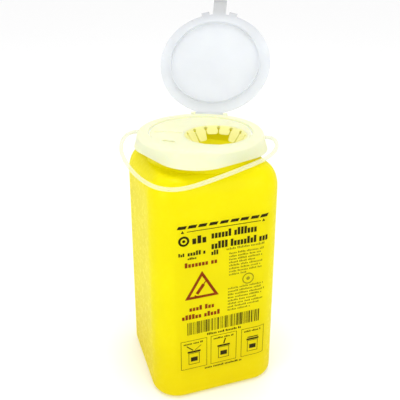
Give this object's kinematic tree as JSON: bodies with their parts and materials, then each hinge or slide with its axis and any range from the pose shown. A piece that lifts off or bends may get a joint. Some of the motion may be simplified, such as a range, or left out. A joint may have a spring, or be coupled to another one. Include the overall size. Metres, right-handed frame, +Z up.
{
  "type": "sharps container",
  "caption": "Square plastic sharps container with a pressed-on round lid, petal-guarded opening, hinged cap and carrying handle.",
  "frame": {"origin": "middle of the flat base on which the container stands", "axes": "+Z up through the lid; the printed front face looks towards -Y; +X to the right as seen from the front"},
  "size_m": [0.1623, 0.1992, 0.3235],
  "materials": {
    "container_yellow": "satin",
    "lid_natural": "satin",
    "guard_natural": "satin",
    "cap_clear": "satin",
    "handle_natural": "satin",
    "label_print": "satin"
  },
  "bodies": {
    "container": {"container_body": "container_yellow", "lid": "lid_natural", "petal_ring": "guard_natural", "front_label": "label_print"},
    "cap": {"snap_cap": "cap_clear"},
    "handle": {"bail_handle": "handle_natural"},
    "petal_01": {"guard_petal_01": "guard_natural"},
    "petal_02": {"guard_petal_02": "guard_natural"},
    "petal_03": {"guard_petal_03": "guard_natural"},
    "petal_04": {"guard_petal_04": "guard_natural"},
    "petal_05": {"guard_petal_05": "guard_natural"},
    "petal_06": {"guard_petal_06": "guard_natural"},
    "petal_07": {"guard_petal_07": "guard_natural"},
    "petal_08": {"guard_petal_08": "guard_natural"},
    "petal_09": {"guard_petal_09": "guard_natural"},
    "petal_10": {"guard_petal_10": "guard_natural"},
    "petal_11": {"guard_petal_11": "guard_natural"},
    "petal_12": {"guard_petal_12": "guard_natural"},
    "petal_13": {"guard_petal_13": "guard_natural"}
  },
  "joints": [
    {"name": "cap_hinge", "type": "hinge", "parent": "container", "child": "cap", "pos_m": [0.0257, 0.05043, 0.2264], "axis": [0.891, -0.454, 0], "range_deg": [-20, 129]},
    {"name": "handle_pivot", "type": "hinge", "parent": "container", "child": "handle", "pos_m": [0.00817, 0.01604, 0.2195], "axis": [-0.891, 0.454, 0], "range_deg": [0, 135]},
    {"name": "petal_01_flex", "type": "hinge", "parent": "container", "child": "petal_01", "pos_m": [0.02545, 0.00807, 0.22675], "axis": [0.7678, -0.6407, 0], "range_deg": [0, 30], "stiffness_Nm_per_rad": 0.01},
    {"name": "petal_02_flex", "type": "hinge", "parent": "container", "child": "petal_02", "pos_m": [0.01497, 0.01317, 0.22675], "axis": [0.9776, -0.2105, 0], "range_deg": [0, 30], "stiffness_Nm_per_rad": 0.01},
    {"name": "petal_03_flex", "type": "hinge", "parent": "container", "child": "petal_03", "pos_m": [0.00332, 0.01283, 0.22675], "axis": [0.9635, 0.2679, 0], "range_deg": [0, 30], "stiffness_Nm_per_rad": 0.01},
    {"name": "petal_04_flex", "type": "hinge", "parent": "container", "child": "petal_04", "pos_m": [-0.00683, 0.00711, 0.22675], "axis": [0.7286, 0.6849, 0], "range_deg": [0, 30], "stiffness_Nm_per_rad": 0.01},
    {"name": "petal_05_flex", "type": "hinge", "parent": "container", "child": "petal_05", "pos_m": [-0.01316, -0.00267, 0.22675], "axis": [0.3268, 0.9451, 0], "range_deg": [0, 30], "stiffness_Nm_per_rad": 0.01},
    {"name": "petal_06_flex", "type": "hinge", "parent": "container", "child": "petal_06", "pos_m": [-0.01423, -0.01428, 0.22675], "axis": [-0.1498, 0.9887, 0], "range_deg": [0, 30], "stiffness_Nm_per_rad": 0.01},
    {"name": "petal_07_flex", "type": "hinge", "parent": "container", "child": "petal_07", "pos_m": [-0.00977, -0.02505, 0.22675], "axis": [-0.5921, 0.8058, 0], "range_deg": [0, 30], "stiffness_Nm_per_rad": 0.01},
    {"name": "petal_08_flex", "type": "hinge", "parent": "container", "child": "petal_08", "pos_m": [-0.00083, -0.03251, 0.22675], "axis": [-0.8988, 0.4384, 0], "range_deg": [0, 30], "stiffness_Nm_per_rad": 0.01},
    {"name": "petal_09_flex", "type": "hinge", "parent": "container", "child": "petal_09", "pos_m": [0.01057, -0.03497, 0.22675], "axis": [-0.9996, -0.0295, 0], "range_deg": [0, 30], "stiffness_Nm_per_rad": 0.01},
    {"name": "petal_10_flex", "type": "hinge", "parent": "container", "child": "petal_10", "pos_m": [0.0218, -0.03185, 0.22675], "axis": [-0.8713, -0.4907, 0], "range_deg": [0, 30], "stiffness_Nm_per_rad": 0.01},
    {"name": "petal_11_flex", "type": "hinge", "parent": "container", "child": "petal_11", "pos_m": [0.03029, -0.02386, 0.22675], "axis": [-0.5435, -0.8394, 0], "range_deg": [0, 30], "stiffness_Nm_per_rad": 0.01},
    {"name": "petal_12_flex", "type": "hinge", "parent": "container", "child": "petal_12", "pos_m": [0.0341, -0.01285, 0.22675], "axis": [-0.0912, -0.9958, 0], "range_deg": [0, 30], "stiffness_Nm_per_rad": 0.01},
    {"name": "petal_13_flex", "type": "hinge", "parent": "container", "child": "petal_13", "pos_m": [0.03235, -0.00133, 0.22675], "axis": [0.3821, -0.9241, 0], "range_deg": [0, 30], "stiffness_Nm_per_rad": 0.01}
  ]
}
